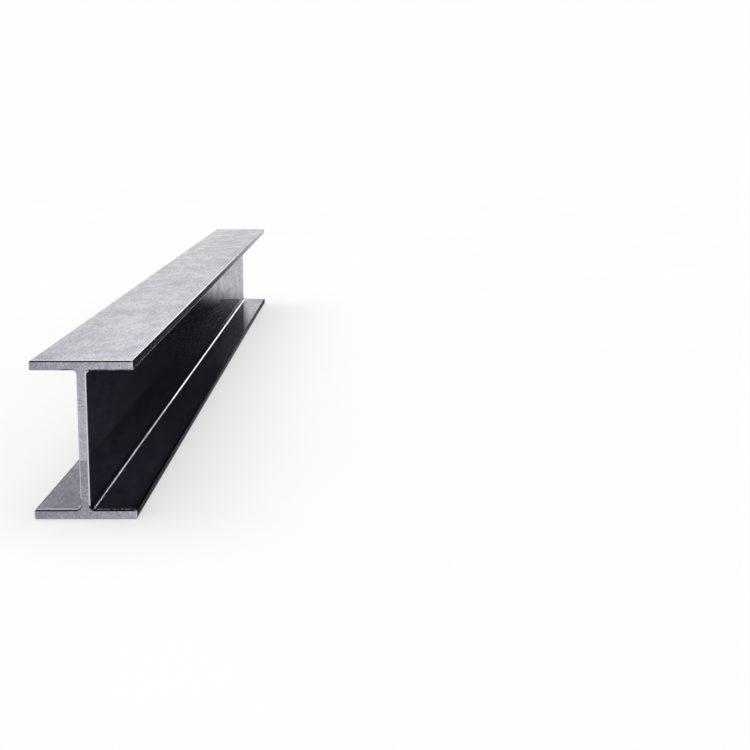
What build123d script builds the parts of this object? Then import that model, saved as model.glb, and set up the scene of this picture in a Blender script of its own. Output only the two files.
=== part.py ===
from build123d import *
import os

# Rolled steel H-beam lying on its lower flange, in millimetres.
# X runs across the flanges, Y along the beam and Z up; the origin is the middle of the underside.

# Rolled section
flange_width = 102.0
beam_depth = 160.0
flange_thickness = 9.5
web_thickness = 9.5
root_radius = 4.5
toe_radius = 1.5

# Length between the sawn ends, and the bevel dressed on the rim of each cut
beam_length = 1750.0
end_bevel = 1.2

# Quarter of the section, seen from its centre
half_width = flange_width / 2
half_depth = beam_depth / 2
half_web = web_thickness / 2
half_clear_depth = half_depth - flange_thickness

os.makedirs("parts", exist_ok=True)

# The section stands across the beam, with its centre half the depth above the underside.
section_plane = Plane(origin=(0, 0, half_depth), x_dir=(1, 0, 0), z_dir=(0, -1, 0))

with BuildPart() as h_beam:
    with BuildSketch(section_plane):
        with BuildLine() as outline:
            # Up the web, round the root, out under the flange, round both corners of its toe, and back.
            FilletPolyline(
                (half_web, 0),
                (half_web, half_clear_depth),
                (half_width, half_clear_depth),
                (half_width, half_depth),
                (0, half_depth),
                radius=[root_radius, toe_radius, toe_radius],
            )
            mirror(outline.line, about=Plane.YZ)
            mirror(outline.line, about=Plane.XZ)
        make_face()
    extrude(amount=beam_length / 2, both=True)
    # Both saw cuts have their sharp rim dressed off all the way round the section.
    sawn_ends = h_beam.faces().filter_by(Axis.Y)
    chamfer(sawn_ends.edges(), end_bevel)

h_beam.part.label = "h_beam"
export_step(h_beam.part, "parts/h_beam.step")
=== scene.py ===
import math

import bpy
import numpy as np
from mathutils import Matrix, Vector, noise


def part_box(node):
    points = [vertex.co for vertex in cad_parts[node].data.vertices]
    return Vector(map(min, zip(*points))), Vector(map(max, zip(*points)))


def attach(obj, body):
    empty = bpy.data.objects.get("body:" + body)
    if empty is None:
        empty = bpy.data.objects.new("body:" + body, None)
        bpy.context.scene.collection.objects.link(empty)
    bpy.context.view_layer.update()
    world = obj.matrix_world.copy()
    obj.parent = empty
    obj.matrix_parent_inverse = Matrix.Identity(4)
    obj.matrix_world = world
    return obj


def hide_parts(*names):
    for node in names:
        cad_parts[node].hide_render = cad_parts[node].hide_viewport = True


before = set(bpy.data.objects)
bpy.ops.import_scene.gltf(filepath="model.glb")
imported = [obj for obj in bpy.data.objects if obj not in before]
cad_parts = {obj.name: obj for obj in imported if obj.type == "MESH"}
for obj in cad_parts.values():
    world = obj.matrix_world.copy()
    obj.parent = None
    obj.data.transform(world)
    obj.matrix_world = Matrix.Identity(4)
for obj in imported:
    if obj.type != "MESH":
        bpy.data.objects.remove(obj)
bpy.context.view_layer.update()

# Rolled steel H-beam on a pale studio floor. Metres; X across the flanges, Y along the beam, Z up.

beam_low, beam_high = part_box("h_beam")
beam_centre = (beam_low + beam_high) / 2
half_width = (beam_high.x - beam_low.x) / 2
half_length = (beam_high.y - beam_low.y) / 2
half_depth = (beam_high.z - beam_low.z) / 2

# The section's own sizes, as in the solid
flange_thickness = 0.0095
web_thickness = 0.0095
root_radius = 0.0045
toe_radius = 0.0015
end_bevel = 0.0012
half_clear = half_depth - flange_thickness

# How finely the mesh follows the section and the length
flat_step = 0.005
root_steps = 10
toe_steps = 5
support_gap = 0.0003
station_step = 0.006
sharp_edge_deg = 30

# Rolling leaves the faces very slightly uneven: how far they dip, over what distance, and how roughly
relief_depth = 0.000012
relief_wavelength = 0.045
relief_octaves = 3
relief_dimension = 0.8
relief_lacunarity = 2.0

# Material slots of the mesh: the rolled faces, the two saw cuts, and the bevels dressed round them
rolled_slot, sawn_slot, dressed_slot = 0, 1, 2

# The saw cuts are painted darker below this height, a painted shade, with an edge about this soft
shaded_foot_height = 0.0600
shaded_foot_edge = 0.001

# The upper and lower halves, and the left and right ones, meet over this distance each way
halves_edge = 0.002

# Where the steel is worn, and where a lighter burnish paints a highlight along the toes and cuts: a pair
# gives how far from an edge a change starts, and how far it is complete
burnish_highlight_from_toe = (0.0026, 0.0014)
burnish_highlight_from_cut = (0.009, 0.005)
scuff_from_cut = (0.0075, 0.0055)
scuff_from_root = 0.001
shelter_past_flange = (0.0010, 0.0003)

# Painted shade in the lower roots by the cuts, a little less on the left
root_shade_from_cut = (0.014, 0.003)
root_shade_edge = 0.0005
left_root_shade, right_root_shade = 0.8, 1.0

# Dark scale on the toes, also painted shade on their sides: how far it reaches, less on the upper crowns;
# on the upper toes it fades along the beam between these shares of half the length, a painted lightening
scale_and_shade_reach = 0.0017
crown_scale_and_shade_reach = 0.0005
scale_and_shade_edge = 0.0004
crown_above_flange = (0.003, 0.005)
far_lightening_shares = (-0.72, 1.22)

# Smudges to a cloud, the noise values over which smudges and scuffs set in, and the depth of the grain
smudges_per_cloud = 0.8
smudge_limits = (0.52, 0.78)
scuff_limits = (0.35, 0.55)
grain_depth = 0.00001
grain_bump = 0.5

# The floor reaches this far each way, glows a little by itself, and is very faintly mottled
floor_reach = 60.0
floor_tones = ((0.90, 0.905, 0.885, 1), (0.92, 0.925, 0.905, 1))
floor_mottles_per_metre = 3.0
floor_glow = 1.05
floor_glow_share = 0.5

# The soft key light over the floor
key_strength = 2.05
key_width_deg = 70
key_tilt_deg = (-20, -15)

# The photograph's camera: a square frame, 36 mm wide, level across
photo_side_px = 750
focal_length_px = 1466.0
sensor_width_mm = 36.0
camera_right = 0.2864
camera_before_end = 1.4143
camera_height = 0.3925
camera_down_deg = 9.886
camera_turn_right_deg = 0.067
nearest_shown = 0.01
farthest_shown = 200.0


def line_points(start, end, normal):
    """Points from start up to end, evenly spread with one close to each end, and their normal."""
    start, end = np.array(start), np.array(end)
    length = np.linalg.norm(end - start)
    steps = max(1, round((length - 2 * support_gap) / flat_step))
    inner = np.linspace(support_gap, length - support_gap, steps + 1)
    along = np.concatenate([[0.0], inner, [length]])[:, None] / length
    points = start + (end - start) * along
    return points, np.tile(normal, (len(points), 1))


def arc_points(centre, radius, start_deg, end_deg, steps, facing):
    """Points round an arc; facing is 1 where the steel is inside it and -1 where it is outside."""
    angles = np.radians(np.linspace(start_deg, end_deg, steps + 1))
    spokes = np.stack([np.cos(angles), np.sin(angles)], axis=1)
    return np.array(centre) + radius * spokes, facing * spokes


def section_outline():
    """The section's closed outline about its centre, anticlockwise, with outward normals."""
    web_face = web_thickness / 2
    root_x, root_z = web_face + root_radius, half_clear - root_radius
    toe_x = half_width - toe_radius
    toe_low, toe_high = half_clear + toe_radius, half_depth - toe_radius
    runs = [
        line_points((web_face, 0), (web_face, root_z), (1, 0)),
        arc_points((root_x, root_z), root_radius, 180, 90, root_steps, -1),
        line_points((root_x, half_clear), (toe_x, half_clear), (0, -1)),
        arc_points((toe_x, toe_low), toe_radius, -90, 0, toe_steps, 1),
        line_points((half_width, toe_low), (half_width, toe_high), (1, 0)),
        arc_points((toe_x, toe_high), toe_radius, 0, 90, toe_steps, 1),
        line_points((toe_x, half_depth), (0, half_depth), (0, 1)),
    ]
    # Each run starts where the one before it ended.
    points = np.concatenate([runs[0][0]] + [run[0][1:] for run in runs[1:]])
    normals = np.concatenate([runs[0][1]] + [run[1][1:] for run in runs[1:]])
    outline = []
    for quarter in (points, normals):
        outline.append(np.concatenate([
            quarter,
            (quarter * (-1, 1))[::-1][1:],
            (quarter * (-1, -1))[1:],
            (quarter * (1, -1))[::-1][1:-1],
        ]))
    return outline


def relief_at(x, y, z):
    """How far the rolled face dips at a place, from 0 to 1."""
    place = Vector((x, y, z)) / relief_wavelength
    wave = noise.fractal(place, relief_dimension, relief_lacunarity, relief_octaves)
    return min(1.0, max(0.0, 0.5 + 0.5 * wave))


def beam_mesh():
    """The beam as rings of the section along Y, with a bevelled and capped saw cut at each end."""
    points, normals = section_outline()
    points = points + (beam_centre.x, beam_centre.z)
    first, last = beam_low.y + end_bevel, beam_high.y - end_bevel
    stations = np.linspace(first, last, round((last - first) / station_step) + 1)

    rings = [(beam_low.y, points - end_bevel * normals)]
    for y in stations:
        dips = np.array([relief_at(x, y, z) for x, z in points])
        rings.append((y, points - relief_depth * dips[:, None] * normals))
    rings.append((beam_high.y, points - end_bevel * normals))

    count = len(points)
    vertices = [(x, y, z) for y, ring in rings for x, z in ring]
    faces = []
    for i in range(len(rings) - 1):
        for j in range(count):
            k = (j + 1) % count
            faces.append((i * count + j, (i + 1) * count + j, (i + 1) * count + k, i * count + k))
    side_faces = len(faces)
    back_start = (len(rings) - 1) * count
    faces.append(tuple(range(count)))
    faces.append(tuple(reversed(range(back_start, back_start + count))))

    mesh = bpy.data.meshes.new("h_beam_rolled")
    mesh.from_pydata(vertices, [], faces)
    slots = np.full(len(faces), rolled_slot, np.int32)
    slots[:count] = dressed_slot
    slots[side_faces - count:side_faces] = dressed_slot
    slots[side_faces:] = sawn_slot
    mesh.polygons.foreach_set("material_index", slots)
    mesh.polygons.foreach_set("use_smooth", np.ones(len(faces), bool))
    mesh.set_sharp_from_angle(angle=math.radians(sharp_edge_deg))
    return mesh


class Nodes:
    """A node tree that is filled by short calls: numbers and colours are set, sockets are linked."""

    def __init__(self, tree):
        self.tree = tree
        tree.nodes.clear()

    def add(self, kind, settings=None, **inputs):
        node = self.tree.nodes.new(kind)
        for name, value in (settings or {}).items():
            setattr(node, name, value)
        for name, value in inputs.items():
            self.put(node.inputs[name.replace("_", " ")], value)
        return node

    def put(self, socket, value):
        if isinstance(value, bpy.types.NodeSocket):
            self.tree.links.new(value, socket)
        else:
            socket.default_value = value

    def math(self, operation, *values):
        node = self.add("ShaderNodeMath", {"operation": operation})
        for socket, value in zip(node.inputs, values):
            self.put(socket, value)
        return node.outputs[0]

    def ramp(self, value, low, high, to_low=0.0, to_high=1.0):
        node = self.add("ShaderNodeMapRange", {"interpolation_type": "SMOOTHSTEP"})
        for socket, number in zip(node.inputs, (value, low, high, to_low, to_high)):
            self.put(socket, number)
        return node.outputs[0]

    # A mix node has its own sockets for each kind of value: 6 and 7 are colours, 2 and 3 are numbers.
    def mix(self, share, first, second):
        node = self.add("ShaderNodeMix", {"data_type": "RGBA"})
        self.put(node.inputs[0], share)
        self.put(node.inputs[6], first)
        self.put(node.inputs[7], second)
        return node.outputs[2]

    def mix_number(self, share, first, second):
        node = self.add("ShaderNodeMix", {"data_type": "FLOAT"})
        self.put(node.inputs[0], share)
        self.put(node.inputs[2], first)
        self.put(node.inputs[3], second)
        return node.outputs[0]

    def dot(self, vector, axis):
        node = self.add("ShaderNodeVectorMath", {"operation": "DOT_PRODUCT"})
        self.put(node.inputs[0], vector)
        self.put(node.inputs[1], axis)
        return node.outputs["Value"]

    def noise(self, vector, scale, detail, roughness=0.5, distortion=0.0):
        node = self.add("ShaderNodeTexNoise", Vector=vector, Scale=scale, Detail=detail,
                        Roughness=roughness, Distortion=distortion)
        return node.outputs["Fac"]


def wear_masks(n, place):
    """Burnish with a painted highlight, shelter by the flanges, toe scale with painted shade, scuffs,
    painted root shade.
    """
    spot = n.add("ShaderNodeSeparateXYZ", Vector=place)
    across = n.math("ABSOLUTE", spot.outputs["X"])
    along = n.math("ABSOLUTE", spot.outputs["Y"])
    height = n.math("SUBTRACT", spot.outputs["Z"], beam_centre.z)
    off_middle = n.math("ABSOLUTE", height)
    on_upper = n.ramp(height, -halves_edge, halves_edge)

    def in_from(value, limit, distances, most=1.0):
        start, complete = distances
        return n.ramp(value, limit - start, limit - complete, 0.0, most)

    # A lighter burnish along the upper toes and behind the cuts, which also paints a highlight line along
    # these edges
    toes = n.math("MULTIPLY", in_from(across, half_width, burnish_highlight_from_toe), on_upper)
    burnish_and_highlight = n.math("MAXIMUM", toes, in_from(along, half_length, burnish_highlight_from_cut))

    start, complete = shelter_past_flange
    sheltered = n.ramp(off_middle, half_clear + start, half_clear + complete)

    # Dark scale on the toes, which also paints the shade on their sides
    crown_start, crown_complete = crown_above_flange
    on_crown = n.ramp(height, half_clear + crown_start, half_clear + crown_complete)
    scale_and_shade_starts = n.mix_number(on_crown, half_width - scale_and_shade_reach, half_width - crown_scale_and_shade_reach)
    on_toe = n.ramp(n.math("SUBTRACT", across, scale_and_shade_starts), 0.0, scale_and_shade_edge)
    # On the upper toes the scale fades towards +Y, a painted lightening towards the far end
    far_lightening = n.ramp(spot.outputs["Y"], *(half_length * share for share in far_lightening_shares))
    left_on = n.math("SUBTRACT", 1.0, n.math("MULTIPLY", far_lightening, on_upper))
    scale_and_shade = n.math("MULTIPLY", on_toe, left_on)

    root_end = web_thickness / 2 + root_radius
    on_flange = n.ramp(across, root_end, root_end + scuff_from_root)
    behind_cut = in_from(along, half_length, scuff_from_cut)
    scuffed = n.math("MULTIPLY", n.math("MULTIPLY", behind_cut, on_flange), sheltered)

    # Painted shade in the lower roots by the cuts
    root_top = root_radius - half_clear
    flange_middle = -half_clear - flange_thickness / 2
    beside_web = n.ramp(across, root_end + root_shade_edge, root_end - root_shade_edge)
    below_top = n.ramp(height, root_top + root_shade_edge, root_top - root_shade_edge)
    above_flange = n.ramp(height, flange_middle - root_shade_edge, flange_middle + root_shade_edge)
    in_root = n.math("MULTIPLY", below_top, above_flange)
    side_root_shade = n.ramp(spot.outputs["X"], -halves_edge, halves_edge, left_root_shade, right_root_shade)
    near_cut = in_from(along, half_length, root_shade_from_cut, side_root_shade)
    root_shade = n.math("MULTIPLY", n.math("MULTIPLY", beside_web, in_root), near_cut)
    return burnish_and_highlight, sheltered, scale_and_shade, scuffed, root_shade


def steel_material(name, finish):
    """Bare steel: clouds and smudges drawn out along the beam, a fine and a coarse grain, and their sheen.

    Sizes are in metres across the beam; a stretch is how many times longer things are along it.
    """
    material = bpy.data.materials.new(name)
    material.use_nodes = True
    n = Nodes(material.node_tree)
    place = n.add("ShaderNodeTexCoord").outputs["Object"]

    def drawn_out(stretch):
        return n.add("ShaderNodeMapping", Vector=place, Scale=(1, 1 / stretch, 1)).outputs[0]

    cloud_place = drawn_out(finish["cloud_stretch"])
    grain_place = drawn_out(finish["grain_stretch"])
    streak_place = drawn_out(finish["streak_stretch"])
    clouds_per_metre = 1 / finish["cloud_size"]
    clouds = n.noise(cloud_place, clouds_per_metre, detail=5.0, roughness=0.65, distortion=0.3)
    smudges = n.noise(cloud_place, clouds_per_metre * smudges_per_cloud, detail=2.0, distortion=1.0)
    grain = n.noise(grain_place, 1 / finish["grain_size"], detail=3.0, roughness=0.7)
    streaks = n.noise(streak_place, 1 / finish["streak_size"], detail=2.0, roughness=0.6)
    burnish_and_highlight, sheltered, scale_and_shade, scuffed, root_shade = wear_masks(n, place)

    # The patterns swing the tone about a middle that can lean across the cut, a painted shading, and drop
    # to a darker foot, a painted shade.
    pattern = 0.0
    for part, share in ((clouds, "cloud_share"), (grain, "grain_share"), (streaks, "streak_share")):
        pattern = n.math("MULTIPLY_ADD", n.math("SUBTRACT", part, 0.5), finish[share], pattern)
    swing = n.ramp(n.dot(place, (0, 1, 0)), beam_low.y, beam_high.y, *finish["end_swings"])
    from_centre = n.add("ShaderNodeMapping", Vector=place, Location=-beam_centre).outputs[0]
    painted_lean = n.dot(from_centre, finish["painted_lean"])
    middle = n.ramp(n.dot(place, (0, 0, 1)), shaded_foot_height - shaded_foot_edge, shaded_foot_height + shaded_foot_edge,
                    finish["middle"] - finish["foot_shade"], finish["middle"])
    tone = n.ramp(n.math("MULTIPLY_ADD", pattern, swing, n.math("ADD", painted_lean, middle)), 0.0, 1.0)
    stain = n.ramp(smudges, *smudge_limits)

    def surface(which):
        bare = n.mix(tone, finish["dark"][which], finish["light"][which])
        stained = n.mix(stain, bare, finish["smudge"][which])
        # The burnish is a lighter tone that also paints a highlight along the edges
        rubbed_highlight = n.math("MULTIPLY", burnish_and_highlight, finish["burnish_highlight_share"])
        bright = n.mix(rubbed_highlight, stained, finish["burnish_highlight"][which])
        # Dark scale on the toes, which also paints the shade on their sides
        marked = n.mix(scale_and_shade, bright, finish["scale"][which])
        # Painted shade in the lower roots by the cuts
        root_shade_amount = n.math("MULTIPLY", root_shade, finish["root_shade_share"])
        return n.mix(root_shade_amount, marked, finish["root_shade_tone"][which])

    open_sheen = n.ramp(tone, 0.0, 1.0, finish["rough"], finish["smooth"])
    inner_sheen = n.math("MULTIPLY", open_sheen, finish["sheltered_sheen"])
    scuff = n.math("MULTIPLY", scuffed, n.ramp(streaks, *scuff_limits))
    even_sheen = n.mix_number(sheltered, open_sheen, inner_sheen)
    clean_sheen = n.mix_number(scuff, even_sheen, finish["scuff_sheen"])
    sheen = n.mix_number(scale_and_shade, clean_sheen, finish["scale_sheen"])
    bump = n.add("ShaderNodeBump", Strength=grain_bump, Distance=grain_depth, Height=grain)
    shader = n.add("ShaderNodeBsdfPrincipled", Metallic=1.0, Base_Color=surface("facing"),
                   Specular_Tint=surface("grazing"), Roughness=sheen, Normal=bump.outputs[0])
    output = n.add("ShaderNodeOutputMaterial")
    n.put(output.inputs["Surface"], shader.outputs[0])
    return material


# Each tone is given as seen facing the steel and as the tint of its reflections at a grazing angle.
rolled_finish = dict(
    light=dict(facing=(0.80, 0.795, 0.81, 1), grazing=(1, 1, 1, 1)),
    dark=dict(facing=(0.50, 0.495, 0.53, 1), grazing=(0.70, 0.695, 0.73, 1)),
    smudge=dict(facing=(0.52, 0.51, 0.58, 1), grazing=(0.76, 0.755, 0.82, 1)),
    # Burnish: a lighter tone along the edges, which also paints a highlight there
    burnish_highlight=dict(facing=(0.95, 0.95, 0.955, 1), grazing=(1, 1, 1, 1)),
    # The scale tone, which also paints the shade on the toes' sides
    scale=dict(facing=(0.075, 0.072, 0.09, 1), grazing=(0.10, 0.095, 0.125, 1)),
    # A near-black tone for the painted shade in the lower roots
    root_shade_tone=dict(facing=(0.04, 0.038, 0.048, 1), grazing=(0.3, 0.3, 0.32, 1)),
    cloud_size=0.030, cloud_stretch=2.2, cloud_share=1.5,
    grain_size=0.0010, grain_stretch=6.0, grain_share=2.8,
    streak_size=0.0028, streak_stretch=9.0, streak_share=1.1,
    end_swings=(0.65, 2.0), painted_lean=(0, 0, 0), middle=0.5, foot_shade=0.0,
    # How much the burnish with its painted highlight, and the painted shade in the roots, show
    burnish_highlight_share=0.8, root_shade_share=0.7, smooth=0.10, rough=0.13,
    sheltered_sheen=0.55, scale_sheen=0.24, scuff_sheen=0.34)
sawn_finish = dict(
    light=dict(facing=(0.97, 0.96, 1.0, 1), grazing=(1, 1, 1, 1)),
    dark=dict(facing=(0.37, 0.36, 0.43, 1), grazing=(0.8, 0.8, 0.82, 1)),
    smudge=dict(facing=(0.58, 0.57, 0.64, 1), grazing=(0.9, 0.9, 0.92, 1)),
    # Burnish for the dressed bevels: a lighter tone that also paints a highlight along the edges
    burnish_highlight=dict(facing=(0.62, 0.61, 0.66, 1), grazing=(1, 1, 1, 1)),
    # The scale tone, which also paints the shade where it covers the toes
    scale=dict(facing=(0.50, 0.49, 0.54, 1), grazing=(0.8, 0.8, 0.82, 1)),
    # A near-black tone for the painted shade in the lower roots
    root_shade_tone=dict(facing=(0.04, 0.038, 0.048, 1), grazing=(0.3, 0.3, 0.32, 1)),
    cloud_size=0.012, cloud_stretch=1.0, cloud_share=1.0,
    grain_size=0.0009, grain_stretch=1.0, grain_share=5.2,
    streak_size=0.005, streak_stretch=1.0, streak_share=0.6,
    # Painted shading across the cut, lighter towards +X and downwards, and a painted shade below the foot
    # height
    end_swings=(0.65, 0.65), painted_lean=(3.0, 0, -3.5), middle=0.825, foot_shade=0.70,
    burnish_highlight_share=0.0, root_shade_share=0.0, smooth=0.42, rough=0.48,
    sheltered_sheen=1.0, scale_sheen=0.45, scuff_sheen=0.45)
dressed_finish = dict(
    sawn_finish, painted_lean=(0, 0, 0), middle=0.5, foot_shade=0.0,
    # The bevels show the painted highlight of the burnish and the painted shade in the roots in full
    burnish_highlight_share=0.8, root_shade_share=1.0, smooth=0.07, rough=0.09,
    scale_sheen=0.09, scuff_sheen=0.09)


def add_object(name, data):
    made = bpy.data.objects.new(name, data)
    bpy.context.scene.collection.objects.link(made)
    return made


def build_beam():
    beam = add_object("h_beam_rolled", beam_mesh())
    beam.data.materials.append(steel_material("rolled_steel", rolled_finish))
    beam.data.materials.append(steel_material("sawn_steel", sawn_finish))
    beam.data.materials.append(steel_material("dressed_steel", dressed_finish))
    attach(beam, "root")
    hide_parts("h_beam")


def floor_material():
    material = bpy.data.materials.new("pale_floor")
    material.use_nodes = True
    n = Nodes(material.node_tree)
    place = n.add("ShaderNodeTexCoord").outputs["Object"]
    tone = n.mix(n.noise(place, floor_mottles_per_metre, detail=3.0), *floor_tones)
    shaded = n.add("ShaderNodeBsdfDiffuse", Color=tone)
    glow = n.add("ShaderNodeEmission", Color=tone, Strength=floor_glow)
    shader = n.add("ShaderNodeMixShader")
    for socket, value in zip(shader.inputs, (floor_glow_share, shaded.outputs[0], glow.outputs[0])):
        n.put(socket, value)
    output = n.add("ShaderNodeOutputMaterial")
    n.put(output.inputs["Surface"], shader.outputs[0])
    return material


def build_floor():
    """A wide pale floor that the steel does not mirror."""
    mesh = bpy.data.meshes.new("studio_floor")
    sides = ((-1, -1), (1, -1), (1, 1), (-1, 1))
    corners = [(floor_reach * x, floor_reach * y, beam_low.z) for x, y in sides]
    mesh.from_pydata(corners, [], [(0, 1, 2, 3)])
    mesh.materials.append(floor_material())
    floor = add_object("studio_floor", mesh)
    floor.visible_glossy = False


# Panels of the studio, seen from the beam: azimuth from +Y towards +X and elevation above the floor,
# in degrees, the softness of their edges, and the light that they give. Later ones cover earlier ones.
# A roll turns a panel about the beam's own line, from upright towards +X.
studio_level = (0.45, 0.44, 0.48, 1)
shade = (0.0115, 0.0105, 0.0150, 1)
studio_panels = [
    # The sky behind the camera
    dict(left=45, right=255, bottom=18, top=60, soft=8.0, light=(0.80, 0.80, 0.82, 1)),
    # Duller sky on the left, mirrored by the lower left flange
    dict(left=-70, right=3, bottom=12, top=35, soft=1.5, light=(0.385, 0.38, 0.415, 1)),
    # Low sky on the left, mirrored by the top, with two brighter places for its near end
    dict(left=-72, right=-1, bottom=0, top=12, soft=1.0, light=(0.80, 0.80, 0.82, 1)),
    dict(left=-20, right=-11.5, bottom=7.5, top=11.5, soft=1.5, light=(0.79, 0.785, 0.815, 1)),
    dict(left=-11, right=-6.5, bottom=8, top=11.5, soft=2.0, light=(1.05, 1.05, 1.065, 1)),
    # A dark place with a light edge, mirrored by the far end of the lower right flange
    dict(left=-5.5, right=-4.0, bottom=6.85, top=8.7, soft=0.25, light=(0.035, 0.033, 0.042, 1)),
    dict(left=-6.83, right=-4.4, bottom=4.4, top=6.35, soft=0.13, roll=15.6, light=(0.70, 0.70, 0.72, 1)),
    # Deep shade on the right, above and below the horizon, mirrored by the web and the lower right flange
    dict(left=0, right=24, bottom=-8, top=30, soft=0.6, light=shade),
    dict(left=-16, right=24, bottom=-27, top=-6.7, soft=0.9, light=shade),
    # Fainter shade in it for the near end of the web, of its foot and of the flange, and for the far end
    dict(left=9, right=22, bottom=-25, top=-9.5, soft=2.5, light=(0.025, 0.023, 0.032, 1)),
    dict(left=6.5, right=16, bottom=11.5, top=20, soft=2.0, light=(0.028, 0.026, 0.036, 1)),
    dict(left=2.5, right=9, bottom=2, top=8.3, soft=1.2, light=(0.018, 0.017, 0.022, 1)),
    # Light beyond the far end, mirrored by the foot of the far web and by the far web itself
    dict(left=0.9, right=6.4, bottom=3.3, top=7.8, soft=0.5, roll=15.7, light=(0.62, 0.615, 0.65, 1)),
    dict(left=-5.7, right=8, bottom=-8.1, top=0, soft=0.5, roll=-15.7, light=(0.62, 0.615, 0.65, 1)),
    # A bright strip ahead, which draws the line along the upper right toe, and one for the far root
    dict(left=-1.8, right=2.4, bottom=8.3, top=14.2, soft=1.0, light=(3.0, 3.0, 3.05, 1)),
    dict(left=-0.6, right=0.6, bottom=6, top=11, soft=0.3, roll=20, light=(2.4, 2.4, 2.45, 1)),
    # Bright strips on the floor ahead, which draw the line along the root
    dict(left=-3.8, right=3.8, bottom=-24, top=-13.8, soft=0.5, light=(5.5, 5.5, 5.6, 1)),
    dict(left=-3.5, right=3.5, bottom=-14.4, top=-7.5, soft=0.5, light=(5.0, 5.0, 5.1, 1)),
    dict(left=-3.0, right=3.0, bottom=-12, top=-7.5, soft=0.5, light=(3.0, 3.0, 3.05, 1)),
    # The pale floor to the left and right
    dict(left=-140, right=-50, bottom=-54, top=-6, soft=5.0, light=(0.75, 0.745, 0.78, 1)),
    dict(left=50, right=140, bottom=-54, top=-6, soft=5.0, light=(0.95, 0.95, 0.96, 1)),
    # Light on the near saw cut from the floor before it, and the shade that its upper bevels mirror
    dict(left=172, right=191.5, bottom=-12.9, top=-5, soft=2.0, light=(0.82, 0.81, 0.86, 1)),
    dict(left=132, right=312, bottom=63, top=87, soft=4.0, light=shade),
]
backdrop_colour = (0.985, 0.988, 0.985, 1)


def window(n, value, low, high, soft):
    """1 where the value is between low and high and 0 outside, with soft edges; limits in degrees."""
    off_middle = n.math("ABSOLUTE", n.math("SUBTRACT", value, math.radians((low + high) / 2)))
    half = (high - low) / 2
    return n.ramp(off_middle, math.radians(half + soft), math.radians(half - soft))


def panel_mask(n, direction, panel):
    """1 inside a panel of the studio and 0 outside, by the direction of a ray."""
    turn = math.radians((panel["left"] + panel["right"]) / 2)
    half = (panel["right"] - panel["left"]) / 2
    roll = Matrix.Rotation(math.radians(panel.get("roll", 0)), 3, "Y")
    axes = ((math.sin(turn), math.cos(turn), 0), (math.cos(turn), -math.sin(turn), 0), (0, 0, 1))
    facing, across, up = (n.dot(direction, roll @ Vector(axis)) for axis in axes)
    azimuth = n.math("ARCTAN2", across, facing)
    elevation = n.math("ARCSINE", up)
    return n.math("MULTIPLY", window(n, azimuth, -half, half, panel["soft"]),
                  window(n, elevation, panel["bottom"], panel["top"], panel["soft"]))


def build_world():
    """The studio round the beam, seen by the steel and the floor; the camera sees a plain backdrop."""
    world = bpy.data.worlds.new("studio")
    bpy.context.scene.world = world
    world.use_nodes = True
    n = Nodes(world.node_tree)
    direction = n.add("ShaderNodeTexCoord").outputs["Generated"]
    light = studio_level
    for panel in studio_panels:
        light = n.mix(panel_mask(n, direction, panel), light, panel["light"])
    seen = n.mix(n.add("ShaderNodeLightPath").outputs["Is Camera Ray"], light, backdrop_colour)
    background = n.add("ShaderNodeBackground", Color=seen, Strength=1.0)
    output = n.add("ShaderNodeOutputWorld")
    n.put(output.inputs["Surface"], background.outputs[0])


def build_lights():
    """One wide soft key that lights the floor; the steel shows the studio's panels instead."""
    sun = bpy.data.lights.new("floor_key", "SUN")
    sun.energy = key_strength
    sun.angle = math.radians(key_width_deg)
    key = add_object("floor_key", sun)
    tilt_x, tilt_y = key_tilt_deg
    key.rotation_euler = (math.radians(tilt_x), math.radians(tilt_y), 0)
    key.visible_glossy = False


def build_camera():
    camera = bpy.data.cameras.new("photo_camera")
    camera.sensor_width = sensor_width_mm
    camera.lens = focal_length_px / photo_side_px * sensor_width_mm
    camera.clip_start = nearest_shown
    camera.clip_end = farthest_shown
    eye = add_object("photo_camera", camera)
    eye.location = (beam_centre.x + camera_right, beam_low.y - camera_before_end,
                    beam_low.z + camera_height)
    eye.rotation_euler = (math.radians(90 - camera_down_deg), 0, math.radians(-camera_turn_right_deg))
    bpy.context.scene.camera = eye


build_beam()
build_floor()
build_world()
build_lights()
build_camera()
bpy.context.scene.view_settings.view_transform = "Standard"
